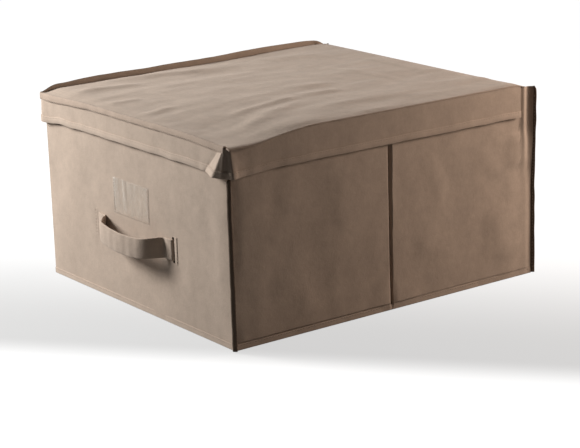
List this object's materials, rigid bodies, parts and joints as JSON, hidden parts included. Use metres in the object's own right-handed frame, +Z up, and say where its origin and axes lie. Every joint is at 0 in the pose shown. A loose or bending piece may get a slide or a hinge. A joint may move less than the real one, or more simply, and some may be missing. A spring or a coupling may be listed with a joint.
{
  "type": "fabric storage box",
  "caption": "Low rectangular cloth storage box over card, with a hinged skirted lid, a strap handle and a clear label pocket on its short front face.",
  "frame": {"origin": "centre of the underside of the base cloth", "axes": "+Z up; the strap handle and label pocket face -Y; the lid hinges along the upper edge at +Y; +X is to the right when facing the handle"},
  "size_m": [0.4656, 0.5371, 0.269],
  "materials": {
    "cloth": "matt taupe non-woven cloth",
    "seam_cloth": "matt non-woven cloth, folded seam allowances",
    "tape_cloth": "matt non-woven binding tape",
    "lining": "matt thin non-woven lining",
    "card": "grey-brown stiff card",
    "strap_cloth": "matt folded and stitched cloth strap",
    "film": "clear soft glossy film"
  },
  "bodies": {
    "box": {"back_bottom_tape": "tape_cloth", "back_cloth": "cloth", "back_lining": "lining", "back_stiffener": "card", "base_cloth": "cloth", "front_bottom_tape": "tape_cloth", "front_cloth": "cloth", "front_left_corner_seam": "seam_cloth", "front_lining": "lining", "front_right_corner_seam": "seam_cloth", "front_rim_tape": "tape_cloth", "front_stiffener": "card", "hinge_tape": "tape_cloth", "label_pocket_film": "film", "left_bottom_tape": "tape_cloth", "left_cloth": "cloth", "left_front_stiffener": "card", "left_lining": "lining", "left_rear_stiffener": "card", "left_rim_tape": "tape_cloth", "left_slot_lip": "tape_cloth", "left_strap_end": "strap_cloth", "rear_left_corner_seam": "seam_cloth", "rear_right_corner_seam": "seam_cloth", "right_bottom_tape": "tape_cloth", "right_cloth": "cloth", "right_front_stiffener": "card", "right_lining": "lining", "right_rear_stiffener": "card", "right_rim_tape": "tape_cloth", "right_slot_lip": "tape_cloth", "right_strap_end": "strap_cloth"},
    "lid": {"front_skirt": "cloth", "front_skirt_hem": "tape_cloth", "front_skirt_lining": "lining", "left_corner_pleat": "cloth", "left_skirt": "cloth", "left_skirt_hem": "tape_cloth", "left_skirt_lining": "lining", "lid_cloth": "cloth", "lid_front_seam": "seam_cloth", "lid_left_seam": "seam_cloth", "lid_lining": "lining", "lid_right_seam": "seam_cloth", "lid_stiffener": "card", "right_corner_pleat": "cloth", "right_skirt": "cloth", "right_skirt_hem": "tape_cloth", "right_skirt_lining": "lining"},
    "handle": {"strap_loop": "strap_cloth"},
    "base_insert": {"base_board": "card", "base_board_cover": "lining"}
  },
  "joints": [
    {"name": "lid_hinge", "type": "hinge", "parent": "box", "child": "lid", "pos_m": [0, 0.25, 0.26], "axis": [-1, 0, 0], "range_deg": [0, 205]},
    {"name": "handle_swing", "type": "hinge", "parent": "box", "child": "handle", "pos_m": [0, -0.2513, 0.102], "axis": [-1, 0, 0], "range_deg": [-30, 60]},
    {"name": "base_board_lift", "type": "slide", "parent": "box", "child": "base_insert", "axis": [0, 0, 1], "range_m": [0, 0.245]}
  ]
}
